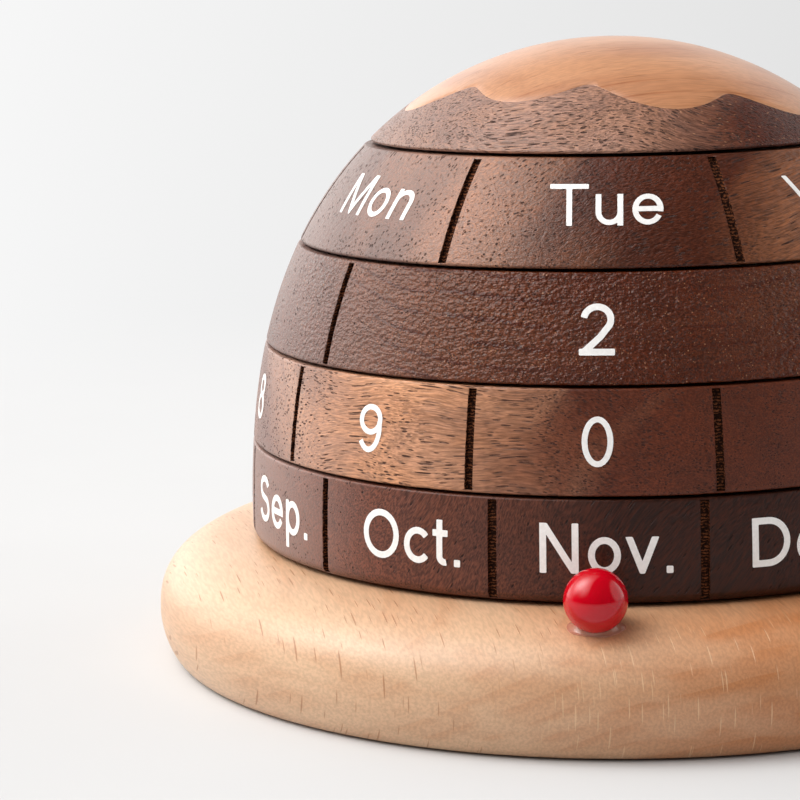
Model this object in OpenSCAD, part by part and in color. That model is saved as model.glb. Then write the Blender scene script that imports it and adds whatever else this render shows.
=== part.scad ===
// Perpetual desk calendar: a beech base, four walnut date rings that turn on a
// steel spindle, and a walnut cap with a beech crown let into its top.
// Millimetres. Z = 0 is the tabletop, +Z runs up the spindle, and the red index
// bead stands at the front, on -Y.

/* [Dome] */
// Diameter of the dome at the foot of the month ring
dome_d = 103; // [90:1:110]
// Exponent of the height in the dome's curve: larger keeps the lower rings upright for longer
dome_shoulder = 2.5; // [2.2:0.05:2.8]
// Exponent of the radius in the dome's curve: larger makes the top flatter
dome_crown = 2.02; // [1.9:0.02:2.2]
// Space between one ring and the next
ring_gap = 0.4; // [0.4:0.05:0.8]
// Height of the month ring
month_h = 13.2; // [11:0.1:16]
// Height of the ring of date units
date_units_h = 13.2; // [11:0.1:16]
// Height of the ring of date tens
date_tens_h = 13.5; // [11:0.1:16]
// Height of the weekday ring
weekday_h = 13.2; // [11:0.1:16]
// Height of the cap, to the top of the dome
cap_h = 13.8; // [13:0.1:18]

/* [Rings] */
// Sectors of the month ring
month_sectors = 12; // [12:1:12]
// Sectors of the ring of date units
date_units_sectors = 10; // [10:1:10]
// Sectors of the ring of date tens
date_tens_sectors = 4; // [4:1:4]
// Sectors of the weekday ring
weekday_sectors = 7; // [7:1:7]
// How far the units ring stands turned from the bead, in degrees
date_units_turn = -0.6; // [-5:0.1:5]
// How far the tens ring stands turned from the bead, in degrees
date_tens_turn = -3.2; // [-5:0.1:5]
// How far the weekday ring stands turned from the bead, in degrees
weekday_turn = -1.7; // [-5:0.1:5]
// Width of the burnt slots between sectors
slot_w = 1; // [0.6:0.1:2]
// Depth of the slots behind the dome's surface
slot_depth = 0.8; // [0.5:0.1:2]
// How far the slots stop short of the rings' edges
slot_end = 0.3; // [0.1:0.1:1]
// Radius of the rings' outer edges
ring_edge_r = 0.3; // [0.2:0.1:0.8]
// Radius of the month ring's lower edge
month_foot_r = 1.2; // [0.5:0.1:2]

/* [Cap] */
// Walnut left under the crown
cap_web = 2.4; // [2:0.1:4]
// Lobes around the crown's outline
crown_lobes = 8; // [5:1:10]
// Radius of the crown's outline between two lobes, at its narrow axis
crown_r = 21.4; // [18:0.1:23]
// How far a lobe stands out
crown_lobe = 4.6; // [2:0.1:5]
// How much wider the outline is along its long axis
crown_oval = 4.2; // [0:0.1:4.4]
// Direction of the first lobe, in degrees from the front
crown_turn = 18; // [0:1:45]
// Turn of the outline's long axis from +X, in degrees
crown_oval_turn = -19; // [-45:1:45]
// Rounding of the valleys between lobes, from 0 for a sharp corner
crown_soft = 0.2; // [0.05:0.05:0.5]

/* [Base] */
// Largest diameter of the base
base_d = 130; // [124:1:150]
// Height of the base above its underside
base_h = 16.1; // [15:0.1:24]
// Height of the widest point above the underside
base_belly_z = 5.8; // [4:0.1:8]
// How far the underside's edge lies inside the widest point
base_undercut = 2.5; // [1:0.1:6]
// Exponent of the curve below the widest point
base_lower_curve = 1.6; // [1.4:0.1:2.4]
// Exponent of the curve above the widest point
base_upper_curve = 2.7; // [2:0.1:3]
// How far the flat under the rings stays inside the dome's foot
land_inset = 4.6; // [2:0.1:8]
// Thickness of the felt pad under the base
pad_t = 1.5; // [1:0.1:3]
// How far the pad stands out of its recess
pad_proud = 0.3; // [0.2:0.1:0.6]
// Wood left around the pad
pad_margin = 12.5; // [5:0.5:20]

/* [Index bead] */
// Diameter of the bead
bead_d = 8; // [6:0.1:10]
// Distance of the bead's seat outside the dome's foot
bead_seat_out = 5.9; // [5:0.1:7]
// How far the bead is sunk into its seat
bead_sink = 0.3; // [0.1:0.1:0.6]
// Diameter of the bead's pin
bead_pin_d = 1.5; // [1:0.1:2]
// Length of the pin inside the bead
bead_pin_in_bead = 3.2; // [2:0.1:4]
// Length of the pin inside the base
bead_pin_in_base = 4; // [2:0.1:6]
// Diameter of the dab of clear glue around the bead's foot
glue_d = 6.6; // [5:0.1:7.5]
// Depth of the flat spot that the glue fills, where the bead sits
glue_seat = 0.45; // [0.4:0.05:0.8]
// Height of the glue above the middle of the flat spot's edge
glue_t = 0.15; // [0.1:0.05:0.5]

/* [Spindle] */
// Outer diameter of the spindle
spindle_d = 12; // [10:0.5:16]
// Depth of the spindle's socket in the base
spindle_socket = 5.5; // [4:0.1:6]
// Wall of the bushes that the rings turn on
bush_wall = 2; // [1:0.1:3]
// Radial running clearance between bush and spindle
running_clear = 0.05; // [0.01:0.01:0.1]
// Thickness of the felt slip washers
slip_t = 1.2; // [1:0.1:2]
// Width of the slip washers' band
slip_band = 11; // [6:0.5:16]
// Clearance between a slip washer and the face that it runs on
slip_clear = 0.05; // [0.02:0.01:0.1]
// Radial clearance of a piece that is dropped into a recess
seat_clear = 0.1; // [0.05:0.05:0.3]

/* [Tie bolt] */
// Thread diameter of the tie bolt
bolt_d = 5; // [4:0.5:6]
// Diameter of the bolt's head
bolt_head_d = 8.5; // [8:0.1:10]
// Height of the bolt's head
bolt_head_h = 5; // [4:0.1:6]
// Width across flats of the hexagon socket
bolt_hex = 4; // [3:0.1:5]
// Depth of the hexagon socket
bolt_hex_depth = 2.5; // [1.5:0.1:3]
// Radial clearance of the bolt in wood and spindle
bolt_clear = 0.25; // [0.1:0.05:0.5]
// Diameter of the washer under the head
bolt_washer_d = 15; // [12:0.5:18]
// Thickness of the washer
bolt_washer_t = 1; // [0.8:0.1:1.5]
// Space between the bolt's head and the foot pad
bolt_head_space = 0.5; // [0.3:0.1:1]
// Outer diameter of the threaded insert
insert_d = 8; // [7.5:0.1:9]
// Length of the threaded insert
insert_l = 9; // [6:0.1:9]
// How far the bolt stops short of the insert's far end
bolt_tip_gap = 0.9; // [0.5:0.1:2]
// Depth of the insert's hole past the insert
insert_hole_spare = 0.5; // [0.2:0.1:0.8]

/* [Hidden] */
$fn = 96;

// Extra reach that carries a cutter past the face it opens
over = 1;
// Steps of the dome's curve over one ring, of a rounded edge and of the base's curves
dome_steps = 8;
edge_steps = 4;
base_steps = 16;
// Steps around the crown's outline
crown_steps = 96;
// Steps of a slot's floor
slot_steps = 4;
// How far from a corner, in edge radii, the dome's own curve begins again
edge_reach = 1.3;
// Half the span over which the base's slope is measured
slope_step = 0.1;

beech = "#e3b78c";
walnut_dark = "#4d3129";
walnut_mid = "#6a4535";
walnut_warm = "#7d523a";
felt = "#3a3532";
steel = "#b9bcc0";
brass = "#c8a04c";
nylon = "#e8e4d8";
bead_red = "#c8102e";
clear_glue = "#efe6dc";

dome_r = dome_d / 2;
base_r = base_d / 2;
bead_r = bead_d / 2;
pad_r = base_r - base_undercut - pad_margin;

// Levels, from the tabletop up
base_z = pad_proud;
land_z = base_z + base_h;
month_z = land_z + ring_gap;
date_units_z = month_z + month_h + ring_gap;
date_tens_z = date_units_z + date_units_h + ring_gap;
weekday_z = date_tens_z + date_tens_h + ring_gap;
cap_z = weekday_z + weekday_h + ring_gap;
dome_top_z = cap_z + cap_h;
dome_h = dome_top_z - month_z;
crown_floor_z = cap_z + cap_web;

bush_r = spindle_d / 2 + bush_wall;
slip_hole_r = spindle_d / 2 + running_clear + seat_clear;
slip_r = slip_hole_r + slip_band;
slip_recess = slip_t - (ring_gap - slip_clear);

head_z = pad_t + bolt_head_space;
head_seat_z = head_z + bolt_head_h;
counterbore_top_z = head_seat_z + bolt_washer_t;
insert_top_z = crown_floor_z + insert_l;

land_r = dome_r - land_inset;
seat_r = dome_r + bead_seat_out;

// Radius of the dome at height z
function dome_radius(z) =
    let (u = min(1, max(0, (z - month_z) / dome_h)))
    dome_r * pow(1 - pow(u, dome_shoulder), 1 / dome_crown);

// Height of the base's top at radius r
function base_top(r) =
    let (u = min(1, max(0, (r - land_r) / (base_r - land_r))))
    base_z + base_belly_z
        + (base_h - base_belly_z) * pow(1 - pow(u, base_upper_curve), 1 / base_upper_curve);

// Fall of the base's top where the bead sits, in degrees
seat_slope = atan2(base_top(seat_r - slope_step) - base_top(seat_r + slope_step), 2 * slope_step);

// Outline of the crown seen from above, a in degrees from the front
function crown_radius(a) =
    crown_r
    + crown_lobe * sqrt(pow(cos(crown_lobes / 2 * (a - crown_turn)), 2) + pow(crown_soft, 2))
    + crown_oval * pow(sin(a - crown_oval_turn), 2);

function unit(v) = v / norm(v);

// Arc of radius e that rounds corner b between a and c
function rounded(a, b, c, e) =
    let (u = unit(a - b),
         v = unit(c - b),
         half = acos(u * v) / 2,
         centre = b + unit(u + v) * e / sin(half),
         first = b + u * e / tan(half) - centre,
         last = b + v * e / tan(half) - centre)
    [for (i = [0 : edge_steps])
        let (t = i / edge_steps, p = first * (1 - t) + last * t)
        centre + e * unit(p)];

// Outline of one slice of the dome, from the bore outwards
function slice_outline(z0, z1, bore_r, low_r, high_r) =
    let (step = (z1 - z0) / dome_steps,
         low = [dome_radius(z0), z0],
         high = [dome_radius(z1), z1],
         reach = max(low_r, high_r) * edge_reach)
    concat(
        [[bore_r, z0]],
        rounded([bore_r, z0], low, [dome_radius(z0 + reach), z0 + reach], low_r),
        [for (z = [z0 + step : step : z1 - step / 2])
            if (z > z0 + low_r * edge_reach && z < z1 - high_r * edge_reach) [dome_radius(z), z]],
        rounded([dome_radius(z1 - reach), z1 - reach], high, [bore_r, z1], high_r),
        [[bore_r, z1]]);

// Side view of a slot: its floor keeps its depth behind the dome's surface
module slot_cutter(z0, z1) {
    rotate([90, 0, 0])
        linear_extrude(height = slot_w, center = true)
            polygon(concat(
                [[dome_r + over, z0]],
                [for (i = [0 : slot_steps])
                    let (z = z0 + (z1 - z0) * i / slot_steps)
                    [dome_radius(z) - slot_depth, z]],
                [[dome_r + over, z1]]));
}

// A date ring with its bore, the recess of its slip washer and its slots
module date_ring(z0, h, sectors, turn, low_r) {
    difference() {
        rotate_extrude()
            polygon(slice_outline(z0, z0 + h, bush_r, low_r, ring_edge_r));
        translate([0, 0, z0 - over])
            cylinder(r = slip_r + seat_clear, h = over + slip_recess);
        for (i = [0 : sectors - 1])
            rotate(turn - 90 + (i + 0.5) * 360 / sectors)
                slot_cutter(z0 + slot_end, z0 + h - slot_end);
    }
}

module tube(outer_r, inner_r, z0, z1) {
    difference() {
        translate([0, 0, z0])
            cylinder(r = outer_r, h = z1 - z0);
        translate([0, 0, z0 - over])
            cylinder(r = inner_r, h = z1 - z0 + 2 * over);
    }
}

// Bush pressed into the ring that stands at z0
module bush(z0, h) {
    tube(bush_r, spindle_d / 2 + running_clear, z0 + slip_recess, z0 + h);
}

// Slip washer in the underside of the piece that stands at z0
module slip_washer(z0) {
    tube(slip_r, slip_hole_r, z0 + slip_recess - slip_t, z0 + slip_recess);
}

// Base's outline, from the middle of its underside to the middle of its flat top
function base_outline() =
    concat(
        [[0, base_z]],
        [for (i = [0 : base_steps])
            let (s = 90 * i / base_steps)
            [base_r - base_undercut * (1 - pow(sin(s), 2 / base_lower_curve)),
             base_z + base_belly_z * (1 - pow(cos(s), 2 / base_lower_curve))]],
        [for (i = [1 : base_steps])
            let (s = 90 * i / base_steps)
            [land_r + (base_r - land_r) * pow(cos(s), 2 / base_upper_curve),
             base_z + base_belly_z
                 + (base_h - base_belly_z) * pow(sin(s), 2 / base_upper_curve)]],
        [[0, land_z]]);

// Frame of the bead's seat: Z is the normal of the base's top
module at_bead_seat() {
    translate([0, -seat_r, base_top(seat_r)])
        rotate([seat_slope, 0, 0])
            children();
}

module base() {
    color(beech)
        difference() {
            rotate_extrude()
                polygon(base_outline());
            // Recess of the foot pad
            translate([0, 0, base_z - over])
                cylinder(r = pad_r + seat_clear, h = over + pad_t - pad_proud);
            // Counterbore and hole of the tie bolt
            translate([0, 0, base_z])
                cylinder(r = bolt_washer_d / 2 + seat_clear, h = counterbore_top_z - base_z);
            translate([0, 0, base_z])
                cylinder(r = bolt_d / 2 + bolt_clear, h = base_h + over);
            // Socket of the spindle
            translate([0, 0, land_z - spindle_socket])
                cylinder(d = spindle_d, h = spindle_socket + over);
            // Flat spot and pin hole of the bead
            at_bead_seat() {
                translate([0, 0, -glue_seat])
                    cylinder(d = glue_d, h = glue_seat + bead_r);
                translate([0, 0, -glue_seat - bead_pin_in_base])
                    cylinder(d = bead_pin_d, h = bead_pin_in_base + over);
            }
        }
}

module foot_pad() {
    color(felt)
        cylinder(r = pad_r, h = pad_t);
}

module spindle() {
    color(steel)
        tube(spindle_d / 2, bolt_d / 2 + bolt_clear, land_z - spindle_socket, crown_floor_z);
}

module tie_bolt() {
    color(steel)
        difference() {
            union() {
                translate([0, 0, head_z])
                    cylinder(d = bolt_head_d, h = bolt_head_h);
                translate([0, 0, head_seat_z])
                    cylinder(d = bolt_d, h = insert_top_z - bolt_tip_gap - head_seat_z);
            }
            translate([0, 0, head_z - over])
                cylinder(d = bolt_hex / cos(30), h = over + bolt_hex_depth, $fn = 6);
        }
}

module bolt_washer() {
    color(steel)
        tube(bolt_washer_d / 2, bolt_d / 2 + bolt_clear, head_seat_z, counterbore_top_z);
}

module crown_insert() {
    color(brass)
        tube(insert_d / 2, bolt_d / 2, crown_floor_z, insert_top_z);
}

module month_ring() {
    color(walnut_dark)
        date_ring(month_z, month_h, month_sectors, 0, month_foot_r);
}

module month_bush() {
    color(nylon) bush(month_z, month_h);
}

module month_slip_washer() {
    color(felt) slip_washer(month_z);
}

module date_units_ring() {
    color(walnut_warm)
        date_ring(date_units_z, date_units_h, date_units_sectors, date_units_turn, ring_edge_r);
}

module date_units_bush() {
    color(nylon) bush(date_units_z, date_units_h);
}

module date_units_slip_washer() {
    color(felt) slip_washer(date_units_z);
}

module date_tens_ring() {
    color(walnut_dark)
        date_ring(date_tens_z, date_tens_h, date_tens_sectors, date_tens_turn, ring_edge_r);
}

module date_tens_bush() {
    color(nylon) bush(date_tens_z, date_tens_h);
}

module date_tens_slip_washer() {
    color(felt) slip_washer(date_tens_z);
}

module weekday_ring() {
    color(walnut_mid)
        date_ring(weekday_z, weekday_h, weekday_sectors, weekday_turn, ring_edge_r);
}

module weekday_bush() {
    color(nylon) bush(weekday_z, weekday_h);
}

module weekday_slip_washer() {
    color(felt) slip_washer(weekday_z);
}

// The top of the dome, before the crown is parted from the cap
module dome_cap() {
    step = 1 / (2 * dome_steps);
    rotate_extrude()
        polygon(concat(
            [[0, cap_z]],
            rounded([0, cap_z], [dome_radius(cap_z), cap_z],
                    [dome_radius(cap_z + ring_edge_r), cap_z + ring_edge_r], ring_edge_r),
            [for (t = [3 * step : step : 1 - step / 2])
                let (z = cap_z + cap_h * sin(90 * t))
                [dome_radius(z), z]],
            [[0, dome_top_z]]));
}

// Upright prism of the crown's outline
module crown_prism() {
    translate([0, 0, crown_floor_z])
        linear_extrude(height = cap_h)
            polygon([for (i = [0 : crown_steps - 1])
                let (a = 360 * i / crown_steps, r = crown_radius(a))
                [r * sin(a), -r * cos(a)]]);
}

module cap_body() {
    color(walnut_mid)
        difference() {
            dome_cap();
            crown_prism();
            translate([0, 0, cap_z - over])
                cylinder(d = spindle_d, h = cap_h);
            translate([0, 0, cap_z - over])
                cylinder(r = slip_r + seat_clear, h = over + slip_recess);
        }
}

module cap_slip_washer() {
    color(felt) slip_washer(cap_z);
}

module crown() {
    color(beech)
        difference() {
            intersection() {
                dome_cap();
                crown_prism();
            }
            translate([0, 0, crown_floor_z - over])
                cylinder(d = insert_d, h = over + insert_l + insert_hole_spare);
        }
}

module index_bead() {
    color(bead_red)
        at_bead_seat()
            difference() {
                translate([0, 0, bead_r - bead_sink])
                    sphere(r = bead_r);
                translate([0, 0, -bead_sink - over])
                    cylinder(d = bead_pin_d, h = over + bead_pin_in_bead);
            }
}

module index_pin() {
    color(brass)
        at_bead_seat()
            translate([0, 0, -glue_seat - bead_pin_in_base])
                cylinder(d = bead_pin_d, h = glue_seat - bead_sink + bead_pin_in_base + bead_pin_in_bead);
}

// Dab of clear glue that fills the flat spot around the bead's foot
module bead_glue() {
    color(clear_glue)
        at_bead_seat()
            difference() {
                translate([0, 0, -glue_seat])
                    cylinder(d = glue_d, h = glue_seat + glue_t);
                translate([0, 0, -glue_seat - over])
                    cylinder(d = bead_pin_d, h = glue_seat + 2 * over);
                translate([0, 0, bead_r - bead_sink])
                    sphere(r = bead_r);
            }
}

base();
foot_pad();
spindle();
tie_bolt();
bolt_washer();
crown_insert();
month_ring();
month_bush();
month_slip_washer();
date_units_ring();
date_units_bush();
date_units_slip_washer();
date_tens_ring();
date_tens_bush();
date_tens_slip_washer();
weekday_ring();
weekday_bush();
weekday_slip_washer();
cap_body();
cap_slip_washer();
crown();
index_bead();
index_pin();
bead_glue();
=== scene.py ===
import math
import random

import bmesh
import bpy
from mathutils import Matrix, Vector


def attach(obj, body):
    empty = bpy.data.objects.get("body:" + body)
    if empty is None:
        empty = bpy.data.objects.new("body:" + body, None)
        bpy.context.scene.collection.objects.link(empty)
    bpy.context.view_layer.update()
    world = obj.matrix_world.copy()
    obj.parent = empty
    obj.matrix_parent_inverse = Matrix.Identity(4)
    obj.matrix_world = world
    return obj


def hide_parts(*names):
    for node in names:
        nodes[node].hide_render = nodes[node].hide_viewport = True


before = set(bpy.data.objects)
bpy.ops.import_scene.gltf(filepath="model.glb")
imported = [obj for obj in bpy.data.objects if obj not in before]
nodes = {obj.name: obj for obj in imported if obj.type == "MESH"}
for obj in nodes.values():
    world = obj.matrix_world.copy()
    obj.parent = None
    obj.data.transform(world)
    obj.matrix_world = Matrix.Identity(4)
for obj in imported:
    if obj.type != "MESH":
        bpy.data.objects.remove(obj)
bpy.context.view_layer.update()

# A perpetual desk calendar: a beech base, four walnut date rings, a walnut cap
# with a beech crown let into it, and a red index bead. The shapes are worked
# out in millimetres and turned to metres when a piece is finished. Angles round
# the calendar are in degrees from the front, -Y, and grow towards +X.

MM = 0.001
# Where the camera stands: distance from the calendar's axis, angle and height
STAND_OFF, STAND_ANGLE, EYE_Z = 377.7, math.radians(2.17), 97.99

# Sizes, as in the part's source
DOME_R = 51.5
DOME_SHOULDER = 2.5
DOME_CROWN = 2.02
BASE_Z, BASE_R, BASE_H = 0.3, 65.0, 16.1
RING_GAP = 0.4
RING_EDGE_R = 0.3
MONTH_FOOT_R = 1.2
MONTH_H, UNITS_H, TENS_H, WEEKDAY_H, CAP_H = 13.2, 13.2, 13.5, 13.2, 13.8
LAND_Z = BASE_Z + BASE_H
MONTH_Z = LAND_Z + RING_GAP
UNITS_Z = MONTH_Z + MONTH_H + RING_GAP
TENS_Z = UNITS_Z + UNITS_H + RING_GAP
WEEKDAY_Z = TENS_Z + TENS_H + RING_GAP
CAP_Z = WEEKDAY_Z + WEEKDAY_H + RING_GAP
DOME_TOP_Z = CAP_Z + CAP_H
DOME_H = DOME_TOP_Z - MONTH_Z
UNITS_TURN, TENS_TURN, WEEKDAY_TURN = -0.6, -3.2, -1.7
SLOT_W = 1.0
SLOT_DEPTH = 0.8
SLOT_END = 0.3
BUSH_R = 8.0
SPINDLE_R = 6.0
SLIP_RECESS_R = 17.25
SLIP_RECESS = 0.85
CROWN_FLOOR_Z = 73.9
CROWN_LOBES, CROWN_R, CROWN_LOBE, CROWN_OVAL = 8, 21.4, 4.6, 4.2
CROWN_TURN, CROWN_OVAL_TURN, CROWN_SOFT = 18, -19, 0.2
INSERT_R, INSERT_HOLE = 4.0, 9.5
BELLY_Z, UNDERCUT, LOWER_CURVE, UPPER_CURVE = 5.8, 2.5, 1.6, 2.7
LAND_R = 46.9
PAD_RECESS_R, PAD_RECESS_Z = 50.1, 1.5
WASHER_HOLE_R, WASHER_HOLE_Z = 7.6, 8.0
BOLT_HOLE_R = 2.75
SOCKET_Z = 10.9
BEAD_R, BEAD_SINK, SEAT_R = 4.0, 0.3, 57.4
GLUE_R, GLUE_SEAT = 1.9, 0.45
PIN_R, PIN_DEPTH = 0.75, 4.45


# ---------------------------------------------------------------- outlines

def dome_radius(z):
    """Radius of the dome at height z."""
    u = min(1.0, max(0.0, (z - MONTH_Z) / DOME_H))
    return DOME_R * (1 - u ** DOME_SHOULDER) ** (1 / DOME_CROWN)


def dome_height(r):
    """Height of the dome at radius r."""
    v = 1 - min(1.0, r / DOME_R) ** DOME_CROWN
    return MONTH_Z + DOME_H * v ** (1 / DOME_SHOULDER)


def dome_normal(z):
    """Outward normal of the dome's side view at height z, as (radial, upward)."""
    step = 0.05
    slope = (dome_radius(z + step) - dome_radius(z - step)) / (2 * step)
    return Vector((1, -slope)).normalized()


def climb(z, distance):
    """Height that a walk over the dome's surface reaches from height z."""
    steps = 12
    for _ in range(steps):
        z += distance / steps * dome_normal(z).x
    return z


def base_top(r):
    """Height of the base's top at radius r."""
    u = min(1.0, max(0.0, (r - LAND_R) / (BASE_R - LAND_R)))
    return BASE_Z + BELLY_Z + (BASE_H - BELLY_Z) * (1 - u ** UPPER_CURVE) ** (1 / UPPER_CURVE)


def crown_radius(angle):
    """Radius of the crown's wavy outline at an angle in radians from the front."""
    a = math.degrees(angle)
    wave = math.cos(math.radians(CROWN_LOBES / 2 * (a - CROWN_TURN)))
    oval = math.sin(math.radians(a - CROWN_OVAL_TURN))
    return CROWN_R + CROWN_LOBE * math.hypot(wave, CROWN_SOFT) + CROWN_OVAL * oval ** 2


def rounded(before, corner, after, radius, steps=5):
    """Points of an arc that rounds a corner of an outline."""
    a, b, c = Vector(before), Vector(corner), Vector(after)
    u, v = (a - b).normalized(), (c - b).normalized()
    half = u.angle(v) / 2
    middle = b + (u + v).normalized() * radius / math.sin(half)
    first = b + u * radius / math.tan(half) - middle
    last = b + v * radius / math.tan(half) - middle
    return [tuple(middle + first.lerp(last, i / steps).normalized() * radius)
            for i in range(steps + 1)]


def spread(low, high, pitch):
    """Evenly spaced values between two ends, about pitch apart, ends left out."""
    count = max(2, round((high - low) / pitch))
    return [low + (high - low) * i / count for i in range(1, count)]


# ---------------------------------------------------------------- mesh tools

def lathe(bm, points, steps):
    """Turns an outline of (radius, height) points once round Z."""
    verts = [bm.verts.new((r, 0, z)) for r, z in points]
    edges = [bm.edges.new(pair) for pair in zip(verts, verts[1:])]
    bmesh.ops.spin(bm, geom=verts + edges, cent=(0, 0, 0), axis=(0, 0, 1),
                   angle=math.tau, steps=steps, use_merge=True)
    bmesh.ops.remove_doubles(bm, verts=bm.verts, dist=0.001)


def loft(bm, loops, steps, capped=False):
    """Closed shape round Z. A loop is a (radius, height), or gives it for an angle."""
    made = bmesh.ops.create_circle(bm, cap_ends=capped, segments=steps, radius=1)
    verts = made["verts"]
    angles = {v: math.atan2(v.co.x, -v.co.y) for v in verts}
    edges = list(bm.edges)

    def place(loop):
        for v in verts:
            a = angles[v]
            r, z = loop(a) if callable(loop) else loop
            v.co = (r * math.sin(a), -r * math.cos(a), z)

    place(loops[0])
    for loop in loops[1:]:
        made = bmesh.ops.extrude_edge_only(bm, edges=edges)["geom"]
        old = {tuple(v.co): angles[v] for v in verts}
        verts = [g for g in made if isinstance(g, bmesh.types.BMVert)]
        edges = [g for g in made if isinstance(g, bmesh.types.BMEdge)
                 and all(v in verts for v in g.verts)]
        angles = {v: old[tuple(v.co)] for v in verts}
        place(loop)
    bmesh.ops.remove_doubles(bm, verts=bm.verts, dist=0.001)


def make_mesh(name, bm):
    """A mesh that takes over a bmesh."""
    mesh = bpy.data.meshes.new(name)
    bm.to_mesh(mesh)
    bm.free()
    return mesh


def make_object(name, bm):
    """An object in the scene that takes over a bmesh."""
    made = bpy.data.objects.new(name, make_mesh(name, bm))
    bpy.context.scene.collection.objects.link(made)
    return made


def applied(thing):
    """A new mesh of an object with its modifiers applied."""
    bpy.context.view_layer.update()
    return bpy.data.meshes.new_from_object(thing.evaluated_get(bpy.context.evaluated_depsgraph_get()))


def cut_with(thing, tool, operation):
    """Gives an object an exact boolean with a tool."""
    cut = thing.modifiers.new("cut", "BOOLEAN")
    cut.operation = operation
    cut.solver = "EXACT"
    cut.object = tool
    return cut


def finish_piece(bm, name, body, materials, replaced=(), sharp=35, flip=True):
    """Turns a bmesh in millimetres into a piece that rides on a body."""
    if flip:
        bmesh.ops.recalc_face_normals(bm, faces=bm.faces)
    bmesh.ops.scale(bm, vec=(MM, MM, MM), verts=bm.verts)
    piece = make_object(name, bm)
    piece.data.shade_smooth()
    piece.data.set_sharp_from_angle(angle=math.radians(sharp))
    for material in materials:
        piece.data.materials.append(material)
    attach(piece, body)
    if replaced:
        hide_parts(*replaced)
    return piece


# ---------------------------------------------------------------- node tools

# Settings of nodes that step softly between two values, blend two colours or multiply them
SMOOTH = {"interpolation_type": "SMOOTHSTEP"}
BLEND = {"data_type": "RGBA"}
TIMES = {"data_type": "RGBA", "blend_type": "MULTIPLY"}


def linear(code):
    """A colour written as sRGB hex, in linear light."""
    parts = [int(code[i:i + 2], 16) / 255 for i in (1, 3, 5)]
    return tuple(c / 12.92 if c <= 0.04045 else ((c + 0.055) / 1.055) ** 2.4 for c in parts) + (1,)


def add(tree, kind, inputs=(), **settings):
    """Adds a shader node with its settings and links. Its inputs come by name, or in the
    order of the sockets in use. Each is a value, another node's socket, or another node,
    which stands for its first output."""
    node = tree.nodes.new("ShaderNode" + kind)
    for key, value in settings.items():
        setattr(node, key, value)
    if isinstance(inputs, dict):
        pairs = [(node.inputs[key], value) for key, value in inputs.items()]
    else:
        pairs = zip([socket for socket in node.inputs if socket.enabled], inputs)
    for socket, value in pairs:
        if isinstance(value, bpy.types.Node):
            value = next(output for output in value.outputs if output.enabled)
        if isinstance(value, bpy.types.NodeSocket):
            tree.links.new(value, socket)
        else:
            socket.default_value = value
    return node


def new_material(name):
    """An empty material, and its node tree."""
    material = bpy.data.materials.new(name)
    material.use_nodes = True
    material.node_tree.nodes.clear()
    return material, material.node_tree


def surface(tree, colour, height, depth, finish):
    """The surface: its colour, its relief, depth mm deep, and the finish's other inputs."""
    bump = add(tree, "Bump", {"Height": height, "Distance": depth * MM})
    shader = add(tree, "BsdfPrincipled", {"Base Color": colour, "Normal": bump, **finish})
    add(tree, "OutputMaterial", {"Surface": shader})


def millimetres(tree, grain=0, tilt=0, across=0, up=0):
    """Object coordinates in mm. In wood they run along the grain (X) and off the tree's
    heart (Y and Z)."""
    place = add(tree, "TexCoord").outputs["Object"]
    return add(tree, "Mapping", {"Vector": place, "Scale": (1 / MM,) * 3,
                                 "Rotation": (0, math.radians(tilt), math.radians(-grain)),
                                 "Location": (0, -across, -up)})


def within(tree, *limits):
    """The product of soft steps, each from a value, where its step starts and ends, and
    the step's height before and after where that isn't 0 and 1."""
    share = 1.0
    for limit in limits:
        step = add(tree, "MapRange", limit, **SMOOTH)
        share = add(tree, "Math", [share, step], operation="MULTIPLY")
    return share


# ---------------------------------------------------------------- wood

# Half the width over which a wood's sideways drift, partly painted shade, is given
DRIFT_AND_SHADE_SPAN = 66


def side_drift_and_shade(tree, right, places):
    """A value that drifts softly from side to side: mm to the right, and the value there."""
    share = add(tree, "Math", [right, 0.5 / DRIFT_AND_SHADE_SPAN, 0.5], operation="MULTIPLY_ADD")
    sweep = add(tree, "ValToRGB", [share])
    ramp = sweep.color_ramp
    ramp.interpolation = "B_SPLINE"
    while len(ramp.elements) < len(places):
        ramp.elements.new(0.5)
    for element, (x, value) in zip(ramp.elements, places):
        element.position = 0.5 + 0.5 * x / DRIFT_AND_SHADE_SPAN
        element.color = (value, value, value, 1)
    return sweep


def streaks(tree, wood, slim, size, detail=2.0, roughness=0.5):
    """Cloudy streaks: size mm across, and drawn out where slim is less than 1."""
    drawn_out = add(tree, "VectorMath", [wood, slim], operation="MULTIPLY")
    return add(tree, "TexNoise", [drawn_out, 1 / size, detail, roughness])


def wandering(tree, wood, slim, reach):
    """Grain that wanders up to reach mm to either side over a palm's width."""
    wander = streaks(tree, wood, slim, 34, 2.0, 0.4).outputs["Color"]
    push = add(tree, "VectorMath", [wander, (0.5, 0.5, 0.5)], operation="SUBTRACT")
    return add(tree, "VectorMath", [push, (0, 2 * reach, 2 * reach), wood], operation="MULTIPLY_ADD")


def year_lines(tree, wood, ring, start, full, close, uneven):
    """Dark late wood, 1 in a line at the end of each year ring, and the depth in mm from
    the heart. The line's start, height and close are shares of the year, and the soft step
    uneven makes it stronger in some places than in others."""
    off_heart = add(tree, "VectorMath", [wood, (0, 1, 1)], operation="MULTIPLY")
    depth = add(tree, "VectorMath", [off_heart], operation="LENGTH")
    season = add(tree, "Math", [add(tree, "Math", [depth, ring], operation="DIVIDE")], operation="FRACT")
    return within(tree, (season, start, full), (season, 1.0, close), uneven), depth


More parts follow.
